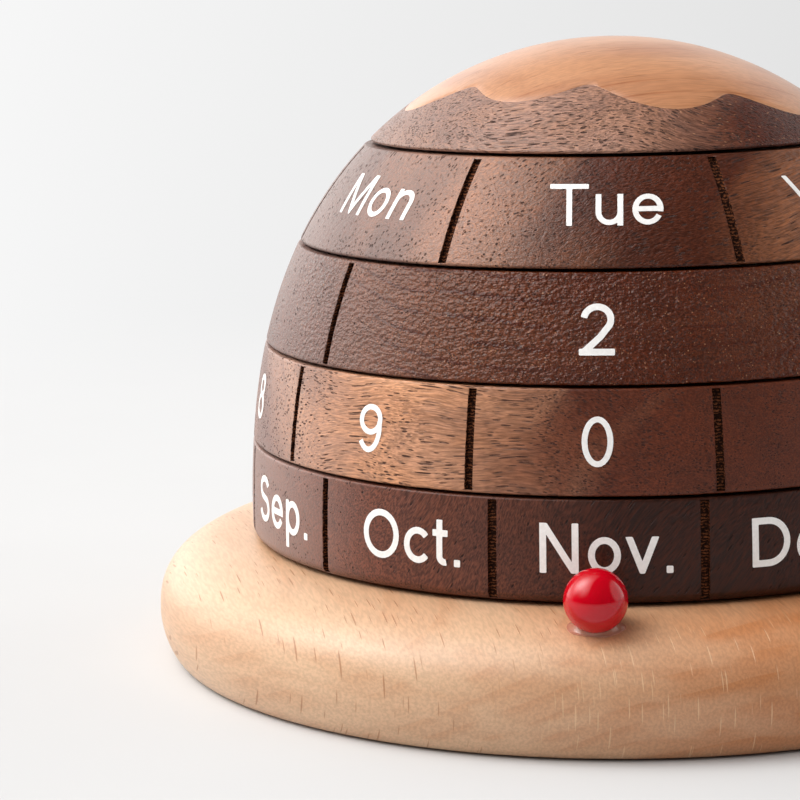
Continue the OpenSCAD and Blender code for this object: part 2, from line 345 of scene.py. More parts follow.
def cells(tree, wood, slim, cell, least, vary, channel=0, edge=0.05):
    """Dots or dashes, 1 inside, one to each cell of cell mm; their sizes vary from least up."""
    drawn_out = add(tree, "VectorMath", [wood, slim], operation="MULTIPLY")
    field = add(tree, "TexVoronoi", [drawn_out, 1 / cell])
    size = add(tree, "SeparateColor", [field.outputs["Color"]]).outputs[channel]
    reach = add(tree, "Math", [size, vary, least], operation="MULTIPLY_ADD")
    inside = add(tree, "Math", [reach, field], operation="SUBTRACT")
    return add(tree, "MapRange", [inside, -0.04, edge], **SMOOTH)


def walnut(name, heart, light, dark, ring, layers, zones, pores, dashes, relief, figure, painted_sheen,
           gloss, drift_and_shade, painted_glints=0.0, wrinkle=0.0, rough=0.38):
    """American walnut, turned, sanded and oiled: brown heartwood with growth layers
    and darker zones, and open vessels that show as dark dashes along the grain and
    as dots across it."""
    material, tree = new_material(name)
    straight = millimetres(tree, *heart)
    right = add(tree, "SeparateXYZ", [millimetres(tree)])
    wood = wandering(tree, straight, (1, 1, 1), 7)
    # Each year ends in a thin dark line, stronger in some years than in others
    strong = streaks(tree, wood, (0.04, 0.12, 0.12), 1, 1.0)
    late, depth = year_lines(tree, wood, ring, 0.7, 0.95, 0.97, (strong, 0.35, 0.6))
    # Zones of darker heartwood follow the layers and change slowly along the grain
    along = add(tree, "Math", [add(tree, "SeparateXYZ", [wood]), 40.0], operation="DIVIDE")
    inward = add(tree, "Math", [depth, 9.0], operation="DIVIDE")
    zone = add(tree, "TexNoise", [add(tree, "CombineXYZ", [inward, along]), 1.0, 3.0])
    zone = add(tree, "MapRange", [zone, 0.3, 0.7, 0.0, zones], **SMOOTH)
    shade = add(tree, "Math", [late, layers, zone], operation="MULTIPLY_ADD")
    # The log's colour drifts from side to side; its darker stretches towards the right are partly painted
    # shade
    shade = add(tree, "Math", [shade, side_drift_and_shade(tree, right, drift_and_shade)], operation="ADD")
    colour = add(tree, "Mix", [shade, linear(light), linear(dark)], **BLEND)
    # Orange and purple-brown patches a few millimetres across
    patch = streaks(tree, wood, (0.3, 1, 1), 5, 3.0, 0.55)
    tint = add(tree, "Mix", [add(tree, "MapRange", [patch, 0.35, 0.65], **SMOOTH),
                             (0.93, 0.92, 0.95, 1), (1.07, 1.01, 0.94, 1)], **BLEND)
    colour = add(tree, "Mix", [1.0, colour, tint], **TIMES)
    # Fibres 0.2 mm across, drawn out along the grain, and a fine mottle
    fibre = streaks(tree, wood, (0.07, 1, 1), 0.2, 1.0, 0.6)
    mottle = streaks(tree, wood, (0.5, 1, 1), 0.6, 3.0, 0.6)
    tone = within(tree, (fibre, 0.28, 0.72, 1 - figure, 1 + figure), (mottle, 0.28, 0.72, 0.86, 1.14))
    colour = add(tree, "Mix", [1.0, colour, tone], **TIMES)
    # A pale grey veil creeps in from the left: painted sheen that stands in for the window's glare. Its
    # strength, and the mm it starts and ends at
    strength, start, full = painted_sheen
    pale = add(tree, "MapRange", [right, start, full, 0.0, strength], **SMOOTH)
    colour = add(tree, "Mix", [pale, colour, linear("#cfb9b0")], **BLEND)
    # Vessels: a crowd of small ones, and fewer wide ones that bunch in early wood
    crowd = add(tree, "MapRange", [mottle, 0.35, 0.6, 0.3, 1.0], **SMOOTH)
    small = add(tree, "Math", [cells(tree, wood, (0.12, 1, 1), *pores), crowd], operation="MULTIPLY")
    bunch = add(tree, "MapRange", [streaks(tree, wood, (0.15, 1, 1), 2.5), 0.36, 0.52], **SMOOTH)
    large = cells(tree, wood, (0.06, 1, 1), 0.34, 0.0, 0.2 * dashes + 0.04)
    large = add(tree, "Math", [large, bunch], operation="MULTIPLY")
    pore = add(tree, "Math", [small, large], operation="MAXIMUM")
    deep = tuple(0.35 * c for c in linear(dark)[:3]) + (1,)
    filled = add(tree, "Math", [pore, 0.92], operation="MULTIPLY")
    colour = add(tree, "Mix", [filled, colour, deep], **BLEND)
    # Painted glints: pale specks that stand in for highlights on the fibre ends
    if painted_glints:
        painted_glint = cells(tree, wood, (0.6, 1.3, 1.3), 0.6, 0.0, 0.22)
        painted_glint = add(tree, "Math", [painted_glint, painted_glints], operation="MULTIPLY")
        colour = add(tree, "Mix", [painted_glint, colour, linear("#d09a72")], **BLEND)
    height = add(tree, "Math", [mottle, 0.6], operation="MULTIPLY")
    height = add(tree, "Math", [fibre, 0.5, height], operation="MULTIPLY_ADD")
    height = add(tree, "Math", [height, pore], operation="SUBTRACT")
    depth_mm = 0.1 * relief
    if wrinkle:
        # Cross-cut wood dries in wrinkles half a millimetre across, wrinkle mm deep
        crease = streaks(tree, straight, (1 / 0.75, 1 / 0.75, 1 / 0.45), 1, 1.0)
        worn = add(tree, "MapRange", [right, -46, -34, 0.0, wrinkle / depth_mm], **SMOOTH)
        height = add(tree, "Math", [crease, worn, height], operation="MULTIPLY_ADD")
    satin = add(tree, "MapRange", [fibre, 0.3, 0.7, rough - 0.05, rough + 0.07], **SMOOTH)
    matt = add(tree, "Math", [pore, 0.35, satin], operation="MULTIPLY_ADD")
    surface(tree, colour, height, depth_mm, {"Roughness": matt, "IOR": 1.5, "Specular IOR Level": gloss})
    return material


def beech(name, heart, light, dark, ring, layers, late_from, cloud, gloss, rough, drift_and_shade):
    """European beech, turned, sanded and waxed: pale and even, with faint growth
    layers and ray flecks, short dark lines on the face and pale upright lines on
    the end grain."""
    material, tree = new_material(name)
    grain, across, up = heart
    wood = millimetres(tree, grain, 0, across, up)
    straight = millimetres(tree)
    layered = wandering(tree, wood, (0.3, 1, 1), 3.5)
    streak = streaks(tree, layered, (0.02, 0.1, 0.3), 1)
    late, _ = year_lines(tree, layered, ring, late_from, 0.95, 0.95, (streak, 0.42, 0.6))
    clouds = add(tree, "MapRange", [streak, 0.3, 0.7, 0.0, cloud], **SMOOTH)
    shade = add(tree, "Math", [late, layers, clouds], operation="MULTIPLY_ADD")
    # The wood drifts from side to side; the darker right of the base is painted shade
    side = side_drift_and_shade(tree, add(tree, "SeparateXYZ", [straight]), drift_and_shade)
    shade = add(tree, "Math", [shade, side], operation="ADD")
    colour = add(tree, "Mix", [shade, linear(light), linear(dark)], **BLEND)
    fibre = streaks(tree, wood, (0.12, 1, 1), 0.35, 1.5, 0.6)
    tone = add(tree, "MapRange", [fibre, 0.3, 0.7, 0.9, 1.1], **SMOOTH)
    colour = add(tree, "Mix", [1.0, colour, tone], **TIMES)
    # Rays: plates 0.12 mm thick, 3 mm along the grain and 8 mm out from the heart
    ray = cells(tree, wood, (1 / 8.8, 1 / 0.45, 1 / 8), 1, 0.08, 0.14, channel=1, edge=0.04)
    # The rim's front and back show end grain
    angle = math.radians(grain)
    towards = (math.cos(angle) / BASE_R, math.sin(angle) / BASE_R, 0)
    facing = add(tree, "VectorMath", [straight, towards], operation="DOT_PRODUCT")
    facing = add(tree, "Math", [facing], operation="ABSOLUTE")
    end = add(tree, "MapRange", [facing, 0.8, 0.96], **SMOOTH)
    ray_tone = add(tree, "Mix", [end, linear("#9c6338"), linear("#ecc8a0")], **BLEND)
    strength = add(tree, "Math", [end, -0.25, 0.65], operation="MULTIPLY_ADD")
    strength = add(tree, "Math", [ray, strength], operation="MULTIPLY")
    colour = add(tree, "Mix", [strength, colour, ray_tone], **BLEND)
    height = add(tree, "Math", [fibre, 0.5], operation="MULTIPLY")
    height = add(tree, "Math", [height, ray], operation="SUBTRACT")
    surface(tree, colour, height, 0.02, {"Roughness": rough, "IOR": 1.5, "Specular IOR Level": gloss})
    return material


def burnt_slot():
    """Walnut cut by a laser: charred brown, with rungs 0.4 mm apart where the beam
    pulsed and pale ash between them."""
    material, tree = new_material("burnt_walnut")
    place = millimetres(tree)
    soot = add(tree, "TexNoise", [place, 1 / 0.5, 3.0])
    climbed = add(tree, "Math", [soot, 0.9, add(tree, "SeparateXYZ", [place]).outputs["Z"]],
                  operation="MULTIPLY_ADD")
    rung = add(tree, "Math", [climbed, 0.2], operation="PINGPONG")
    ash = within(tree, (rung, 0.06, 0.16), (soot, 0.38, 0.58))
    colour = add(tree, "Mix", [ash, linear("#26120a"), linear("#7e4a2e")], **BLEND)
    surface(tree, colour, rung, 0.3, {"Roughness": 0.75, "Specular IOR Level": 0.1})
    return material


def fine_grained(name, low, high, grain, depth, finish, detail=3.0, roughness=0.6,
                 band=(0.3, 0.7), slim=(1, 1, 1)):
    """A material whose colour and relief vary over grains of a real size, in mm."""
    material, tree = new_material(name)
    grains = streaks(tree, millimetres(tree), slim, grain, detail, roughness)
    shade = add(tree, "MapRange", [grains, *band], **SMOOTH) if band else grains
    colour = add(tree, "Mix", [shade, linear(low), linear(high)], **BLEND)
    surface(tree, colour, grains, depth, finish)
    return material


# A wood's heart is the grain's direction and tilt in degrees, and how far the tree's heart
# lies across and up, in mm. Its pores are the cells' width, the least size and its spread.
# In each wood, the pale veil on the left is painted sheen and the pale specks are painted glints. The
# darker end of the side drift on the right is partly painted shade.
walnut_month = walnut(
    "walnut_dark_heart", (12, 48, 25, -60), "#855140", "#351406", ring=3.4, layers=0.0, zones=0.2,
    pores=(0.45, 0.03, 0.26), dashes=0.1, relief=1.2, figure=0.45, painted_sheen=(0.3, -27, -48), rough=0.42,
    gloss=0.33, drift_and_shade=((-46, 0.45), (-32, 0.3), (-14, 0.6), (12, 1.0)))
walnut_units = walnut(
    "walnut_pale_figured", (-25, 0, -15, 20), "#d8a27d", "#5b2a17", ring=5.5, layers=0.15, zones=0.45,
    pores=(0.4, 0.08, 0.28), dashes=1.5, relief=1.1, figure=0.3, painted_sheen=(0.26, -26, -46), gloss=0.36,
    drift_and_shade=((-46, 0.75), (-36, 0.15), (-22, 0.0), (-9, 0.75), (9, 0.82), (20, 0.85)))
walnut_tens = walnut(
    "walnut_end_grain", (84, 0, -5, 210), "#956040", "#4e1e07", ring=2.5, layers=0.3, zones=0.15,
    pores=(0.45, 0.04, 0.26), dashes=0.1, relief=1.4, figure=0.45, painted_sheen=(0.17, -16, -42), gloss=0.32,
    painted_glints=0.35, wrinkle=0.4, drift_and_shade=((-45, 1.4), (-32, 0.55), (-10, 0.85), (8, 1.0), (22, 0.8)))
walnut_weekday = walnut(
    "walnut_red_brown", (45, 0, 70, 66), "#b0754e", "#4a1e09", ring=6.0, layers=0.0, zones=0.25,
    pores=(0.5, 0.06, 0.28), dashes=0.3, relief=1.4, figure=0.4, painted_sheen=(0.19, 0, -27), gloss=0.38,
    wrinkle=0.1, drift_and_shade=((-42, 1.35), (-24, 0.5), (-12, 0.3), (10, 1.35), (23, 0.42)))
walnut_cap = walnut(
    "walnut_coarse", (-4, 0, -10, 30), "#c99d85", "#4a1c09", ring=6.0, layers=0.0, zones=0.2,
    pores=(0.36, 0.12, 0.3), dashes=1.1, relief=1.8, figure=0.4, painted_sheen=(0.16, -6, -32), gloss=0.38,
    painted_glints=0.4, drift_and_shade=((-33, 0.9), (-3, 0.08), (24, 1.12)))
beech_base = beech(
    "beech_turned_base", (-71, 6, -70), "#cfab8a", "#b06b38", ring=2.6, layers=0.12, late_from=0.35,
    cloud=0.2, gloss=0.55, rough=0.4, drift_and_shade=((-58, -0.1), (-30, -0.05), (0, 0.15), (45, 1.1)))
beech_crown = beech(
    "beech_turned_crown", (23, -150, -20), "#c18b66", "#a06541", ring=3.4, layers=0.6, late_from=0.8,
    cloud=0.6, gloss=0.5, rough=0.28, drift_and_shade=((-60, 0.0), (60, 0.0)))
burnt = burnt_slot()

# White screen-printing ink, laid on thickly: matt, with the wood's grain telling through it
ink = fine_grained("white_screen_ink", "#f0eeec", "#faf9f7", 0.5, 0.02, {"Roughness": 0.5},
                   roughness=0.5, band=(0.3, 0.75))
# Red gloss lacquer on a turned bead: deep colour under a clear, slightly rippled surface
lacquer = fine_grained("red_gloss_lacquer", "#b40012", "#c2001b", 1.8, 0.006,
                       {"Roughness": 0.07, "IOR": 1.5, "Specular IOR Level": 0.5},
                       detail=2.0, roughness=0.5, band=None)
# Dried clear craft glue: a glossy skin with small ripples. Its warm colour is painted: the beech under it
# in the bead's shade, and a pink reflection of the bead
glue = fine_grained("clear_glue", "#c98468", "#dca088", 0.9, 0.06,
                    {"Roughness": 0.06, "IOR": 1.48, "Transmission Weight": 0.35},
                    detail=2.0, roughness=0.5, band=None)
# Pressed wool felt: dull, with a soft sheen on its nap
pad_felt = fine_grained("wool_felt", "#2c2826", "#4a4440", 0.35, 0.12,
                        {"Roughness": 0.95, "Sheen Weight": 0.4})
# Steel tube turned on a lathe: fine rings round its axis
turned_steel = fine_grained("turned_steel", "#b4b7ba", "#cfd2d4", 0.2, 0.01,
                            {"Roughness": 0.32, "Metallic": 1.0}, slim=(0.2, 0.2, 4))
# Zinc-plated steel: a slightly cloudy grey shine
zinc_steel = fine_grained("zinc_plated_steel", "#aeb2b4", "#c9ccce", 1.2, 0.01,
                          {"Roughness": 0.36, "Metallic": 1.0})
# Drawn brass: fine lines along the bar
drawn_brass = fine_grained("drawn_brass", "#c29a48", "#dab564", 0.3, 0.01,
                           {"Roughness": 0.3, "Metallic": 1.0}, slim=(1, 1, 0.2))
# Moulded nylon: milky and smooth
moulded_nylon = fine_grained("moulded_nylon", "#e3dfd3", "#ece9df", 0.6, 0.01, {"Roughness": 0.5})


# ---------------------------------------------------------------- date rings

# Height of half a burnt step in a slot's wall, how far the steps stand in or out, and by
# how much they differ
STEP_PITCH, STEP_OUT, STEP_UNEVEN = 0.24, 0.06, 0.04
# Width and depth of the worn lip along a slot
LIP_W, LIP_DROP = 0.09, 0.09
# Where an outline's straight line gives way to a rounded edge, in edge radii
EDGE_REACH = 1.3
RING_STEPS = 180
# How far to either side of a slot the skin is cut up for it
SLOT_REACH = 3


def ring_outline(z0, z1, low_r):
    """Side view of a ring as a closed chain: bore, washer recess, skin and top."""
    low, high = (dome_radius(z0), z0), (dome_radius(z1), z1)
    foot_z, brow_z = z0 + low_r * EDGE_REACH, z1 - RING_EDGE_R * EDGE_REACH
    foot = rounded((0, z0), low, (dome_radius(foot_z), foot_z), low_r)
    brow = rounded((dome_radius(brow_z), brow_z), high, (0, z1), RING_EDGE_R)
    skin = [(dome_radius(z), z) for z in spread(foot[-1][1], brow[0][1], STEP_PITCH)]
    start = (BUSH_R, z0 + SLIP_RECESS)
    return ([start, (SLIP_RECESS_R, z0 + SLIP_RECESS), (SLIP_RECESS_R, z0),
             (dome_radius(z0) - 2, z0)] + foot + skin + brow
            + [(dome_radius(z1) - 2, z1), (BUSH_R, z1), start])


def cut_slot(bm, angle, z0, z1, rng):
    """Sinks one slot into the ring's skin, with burnt steps along its walls."""
    a = math.radians(angle)
    out = Vector((math.sin(a), -math.cos(a), 0))
    side = Vector((math.cos(a), math.sin(a), 0))

    def near(face):
        c = face.calc_center_median()
        return (c.dot(out) > 0 and abs(c.dot(side)) < SLOT_REACH and abs(face.normal.z) < 0.999
                and c.xy.length > SLIP_RECESS_R + 1)

    geom = [f for f in bm.faces if near(f)]
    geom = list(dict.fromkeys(g for f in geom for g in (f, *f.edges, *f.verts)))
    half = SLOT_W / 2
    lines = [(side * t, side) for t in (-half - LIP_W, -half, half, half + LIP_W)]
    lines += [(Vector((0, 0, z)), Vector((0, 0, 1))) for z in (z0 + SLOT_END, z1 - SLOT_END)]
    for place, across in lines:
        cut = bmesh.ops.bisect_plane(bm, geom=geom, dist=0.0001, plane_co=place, plane_no=across)
        geom = list(dict.fromkeys(cut["geom"] + cut["geom_cut"]))

    def within(face):
        c = face.calc_center_median()
        return abs(c.dot(side)) < half and z0 + SLOT_END < c.z < z1 - SLOT_END

    strip = [f for f in geom if isinstance(f, bmesh.types.BMFace) and f.is_valid and within(f)]
    made = bmesh.ops.extrude_face_region(bm, geom=strip)["geom"]
    floor = [v for v in made if isinstance(v, bmesh.types.BMVert)]
    rim = [v for v in dict.fromkeys(v for f in strip for v in f.verts) if v not in floor]
    bmesh.ops.delete(bm, geom=strip, context="FACES")
    # The points come in no fixed order, so they are taken from the left and upwards
    floor.sort(key=lambda v: (round(v.co.dot(side), 3), v.co.z))
    steps = {}

    def wall(v):
        """Where a wall's point lies to the side: alternate heights step in and out."""
        t = v.co.dot(side)
        if abs(t) < half - 0.01:
            return t
        key = (t > 0, round((v.co.z - z0) / STEP_PITCH))
        if key not in steps:
            steps[key] = (STEP_OUT if key[1] % 2 else -STEP_OUT) + rng.uniform(-STEP_UNEVEN, STEP_UNEVEN)
        return t + math.copysign(steps[key], t)

    for v in floor:
        z = min(z1, max(z0, v.co.z))
        place = side * wall(v) + out * (dome_radius(z) - SLOT_DEPTH)
        v.co = Vector((place.x, place.y, v.co.z))
    for v in rim:
        if v.is_valid:
            place = side * wall(v) + out * (v.co.dot(out) - LIP_DROP)
            v.co = Vector((place.x, place.y, v.co.z))


def date_ring(body, z0, h, sectors, turn, low_r, material, seed):
    """A walnut ring of a number of sectors, turned by degrees, with charred slots."""
    rng = random.Random(seed)
    bm = bmesh.new()
    lathe(bm, ring_outline(z0, z0 + h, low_r), RING_STEPS)
    for i in range(sectors):
        cut_slot(bm, turn + (i + 0.5) * 360 / sectors, z0, z0 + h, rng)
    bmesh.ops.remove_doubles(bm, verts=bm.verts, dist=0.01)
    bmesh.ops.recalc_face_normals(bm, faces=bm.faces)
    # Charred faces: the floor and walls of the slots
    for f in bm.faces:
        c = f.calc_center_median()
        r = c.xy.length
        if r < SLIP_RECESS_R + 1 or not z0 + 0.1 < c.z < z0 + h - 0.1:
            continue
        outward = f.normal.x * c.x / r + f.normal.y * c.y / r
        if r < dome_radius(c.z) - SLOT_DEPTH + 0.15 or abs(outward) < 0.25:
            f.material_index = 1
    finish_piece(bm, body + "_dial", body, [material, burnt], (body + "_ring",), flip=False)


# The record's material slot for each ring
SLOTS = {"month": "walnut_month", "date_units": "walnut_units", "date_tens": "walnut_tens",
         "weekday": "walnut_weekday"}

date_ring("month", MONTH_Z, MONTH_H, 12, 0, MONTH_FOOT_R, walnut_month, 11)
date_ring("date_units", UNITS_Z, UNITS_H, 10, UNITS_TURN, RING_EDGE_R, walnut_units, 12)
date_ring("date_tens", TENS_Z, TENS_H, 4, TENS_TURN, RING_EDGE_R, walnut_tens, 13)
date_ring("weekday", WEEKDAY_Z, WEEKDAY_H, 7, WEEKDAY_TURN, RING_EDGE_R, walnut_weekday, 14)


# ---------------------------------------------------------------- cap and crown

CROWN_STEPS = 360
# Eased edge where crown and cap meet
SEAM_EASE = 0.05


def skin_loops(start, end, steps):
    """Loops on the dome's skin from one outline to another, each a radius for an angle."""
    def loop(t):
        def place(a):
            r = start(a) + (end(a) - start(a)) * t
            return r, dome_height(r)
        return place
    return [loop(i / steps) for i in range(steps + 1)]


def crown_wall(a):
    """Upper edge of the wall between crown and cap."""
    return crown_radius(a), dome_height(crown_radius(a)) - SEAM_EASE


def cap_loops():
    """The cap from its washer recess up the skin to the crown, and down through the bore."""
    foot_z = CAP_Z + EDGE_REACH * RING_EDGE_R
    foot = rounded((0, CAP_Z), (dome_radius(CAP_Z), CAP_Z), (dome_radius(foot_z), foot_z), RING_EDGE_R)
    skin = skin_loops(lambda a: foot[-1][0], lambda a: crown_radius(a) + SEAM_EASE, 16)
    bore_top = (SPINDLE_R, CAP_Z + SLIP_RECESS)
    return ([bore_top, (SLIP_RECESS_R, CAP_Z + SLIP_RECESS), (SLIP_RECESS_R, CAP_Z)] + foot + skin[1:]
            + [crown_wall, lambda a: (crown_radius(a), CROWN_FLOOR_Z), (SPINDLE_R, CROWN_FLOOR_Z),
               bore_top])


def crown_loops():
    """The crown from its insert's hole, over the floor and the wall, to the top."""
    return ([(INSERT_R, CROWN_FLOOR_Z + INSERT_HOLE), (INSERT_R, CROWN_FLOOR_Z),
             lambda a: (crown_radius(a), CROWN_FLOOR_Z), crown_wall]
            + skin_loops(lambda a: crown_radius(a) - SEAM_EASE, lambda a: 0, 20))


bm = bmesh.new()
loft(bm, cap_loops(), CROWN_STEPS)
finish_piece(bm, "walnut_cap", "stand", [walnut_cap], ("cap_body",))

bm = bmesh.new()
loft(bm, crown_loops(), CROWN_STEPS, capped=True)
finish_piece(bm, "beech_crown", "stand", [beech_crown], ("crown",))


# ---------------------------------------------------------------- base and bead

BASE_STEPS, RIM_STEPS = 288, 44
BASE_SHARP = 30


def base_outline():
    """Side view of the base: pad recess, undercut, belly, shoulder and stepped bore."""
    points = [(PAD_RECESS_R, PAD_RECESS_Z), (PAD_RECESS_R, BASE_Z)]
    quarter = [math.radians(90 * i / RIM_STEPS) for i in range(RIM_STEPS + 1)]
    for s in quarter:
        points.append((BASE_R - UNDERCUT * (1 - math.sin(s) ** (2 / LOWER_CURVE)),
                       BASE_Z + BELLY_Z * (1 - math.cos(s) ** (2 / LOWER_CURVE))))
    for s in quarter[1:]:
        points.append((LAND_R + (BASE_R - LAND_R) * max(0.0, math.cos(s)) ** (2 / UPPER_CURVE),
                       BASE_Z + BELLY_Z + (BASE_H - BELLY_Z) * math.sin(s) ** (2 / UPPER_CURVE)))
    points += [(SPINDLE_R, LAND_Z), (SPINDLE_R, SOCKET_Z), (BOLT_HOLE_R, SOCKET_Z),
               (BOLT_HOLE_R, WASHER_HOLE_Z), (WASHER_HOLE_R, WASHER_HOLE_Z),
               (WASHER_HOLE_R, PAD_RECESS_Z), (PAD_RECESS_R, PAD_RECESS_Z)]
    return points


# Frame of the bead's seat: Z is the normal of the base's top, in millimetres
seat_slope = math.atan2(base_top(SEAT_R - 0.1) - base_top(SEAT_R + 0.1), 0.2)
seat = Matrix.Translation((0, -SEAT_R, base_top(SEAT_R))) @ Matrix.Rotation(seat_slope, 4, "X")


def bore(piece, holes):
    """Bores holes on the seat's axis, each a radius, a lowest and a highest place."""
    tools = []
    for radius, low, high in holes:
        bm = bmesh.new()
        bmesh.ops.create_cone(bm, cap_ends=True, segments=48, radius1=radius, radius2=radius,
                              depth=high - low, matrix=seat @ Matrix.Translation((0, 0, (low + high) / 2)))
        bmesh.ops.scale(bm, vec=(MM, MM, MM), verts=bm.verts)
        tools.append(make_object("cutter", bm))
        cut_with(piece, tools[-1], "DIFFERENCE")
    bored = applied(piece)
    piece.modifiers.clear()
    old, piece.data = piece.data, bored
    bpy.data.meshes.remove(old)
    for tool in tools:
        bpy.data.objects.remove(tool)
    bored.name = piece.name
    bored.set_sharp_from_angle(angle=math.radians(BASE_SHARP))


bm = bmesh.new()
lathe(bm, base_outline(), BASE_STEPS)
base = finish_piece(bm, "beech_base", "stand", [beech_base], ("base",), sharp=BASE_SHARP)
bore(base, [(GLUE_R, -GLUE_SEAT, BEAD_R), (PIN_R, -PIN_DEPTH, 1)])

bm = bmesh.new()
bmesh.ops.create_uvsphere(bm, u_segments=96, v_segments=64, radius=BEAD_R,
                          matrix=seat @ Matrix.Translation((0, 0, BEAD_R - BEAD_SINK)))
finish_piece(bm, "red_bead", "stand", [lacquer], ("index_bead",), sharp=60)


# Reach of the glue sideways and up and down the slope
GLUE_WIDE, GLUE_DEEP = 3.6, 2.35
# How far the glue climbs the bead at its back and front, and how much more at its sides
GLUE_CLIMB, GLUE_CLIMB_SIDE = 0.3, 0.25
# Height of the glue's underside where it meets the bead, and of its foot, which is sunk
# into the wood a little way in from its outline
GLUE_UNDER, GLUE_FOOT, GLUE_FOOT_IN = -0.28, -0.25, 0.06
# How hollow the glue's skin is: 1 would be straight
GLUE_HOLLOW = 2.2
GLUE_STEPS, GLUE_TURN_STEPS = 8, 72
# Hair's breadths between the glue and the pin, and the glue and the bead
PIN_SPARE, BEAD_SPARE = 0.02, 0.005


def bead_round(h):
    """Radius of the bead's underside at height h over the seat, with a hair to spare."""
    return math.sqrt(BEAD_R ** 2 - (BEAD_R - BEAD_SINK - h) ** 2) + BEAD_SPARE


def glue_loops(rng):
    """Glue that fills the seat, spreads to the sides and climbs the bead in a hollow curve."""
    waves = [(n, rng.uniform(0.01, 0.03), rng.uniform(0, math.tau)) for n in (2, 3, 5, 7)]

    def reach(a):
        swell = 1 + sum(size * math.sin(n * a + start) for n, size, start in waves)
        return swell / math.hypot(math.sin(a) / GLUE_WIDE, math.cos(a) / GLUE_DEEP)

    def top(a):
        return GLUE_CLIMB + GLUE_CLIMB_SIDE * math.sin(a) ** 2

    def skin(t):
        def place(a):
            start = reach(a) - 0.04
            return start + (bead_round(top(a)) - start) * t, -0.02 + (top(a) + 0.02) * t ** GLUE_HOLLOW
        return place

    def under(t):
        def place(a):
            h = top(a) + (GLUE_UNDER - top(a)) * t
            return bead_round(h), h
        return place

    shares = [i / GLUE_STEPS for i in range(GLUE_STEPS + 1)]
    start = (PIN_R + PIN_SPARE, -GLUE_SEAT)
    return ([start, (GLUE_R, -GLUE_SEAT), (GLUE_R, -0.22), lambda a: (reach(a) - GLUE_FOOT_IN, GLUE_FOOT),
             lambda a: (reach(a), -0.1)] + [skin(t) for t in shares] + [under(t) for t in shares[1:]]
            + [(PIN_R + PIN_SPARE, -0.3), start])


bm = bmesh.new()
loft(bm, glue_loops(random.Random(5)), GLUE_TURN_STEPS)
bmesh.ops.transform(bm, matrix=seat, verts=bm.verts)
finish_piece(bm, "glue_drop", "stand", [glue], ("bead_glue",), sharp=50)


# ---------------------------------------------------------------- lettering

# Letters are drawn with a round pen, on a cap height of 1

def arc(x, y, rx, ry, start=0, end=360):
    """Points on an ellipse from one angle to another, in degrees."""
    steps = max(4, round(abs(end - start) / 11))
    points = []
    for i in range(steps + 1):
        t = math.radians(start + (end - start) * i / steps)
        points.append((x + rx * math.cos(t), y + ry * math.sin(t)))
    return points


BOWL = (0.2425, 0.3)
ROUND_O = arc(0.385, 0.3675, 0.255, 0.3)
LEFT_STEM, RIGHT_STEM = 0.165, 0.61
ARCH = arc(0.3875, 0.42, 0.2225, 0.242, 180, 0) + [(RIGHT_STEM, 0)]

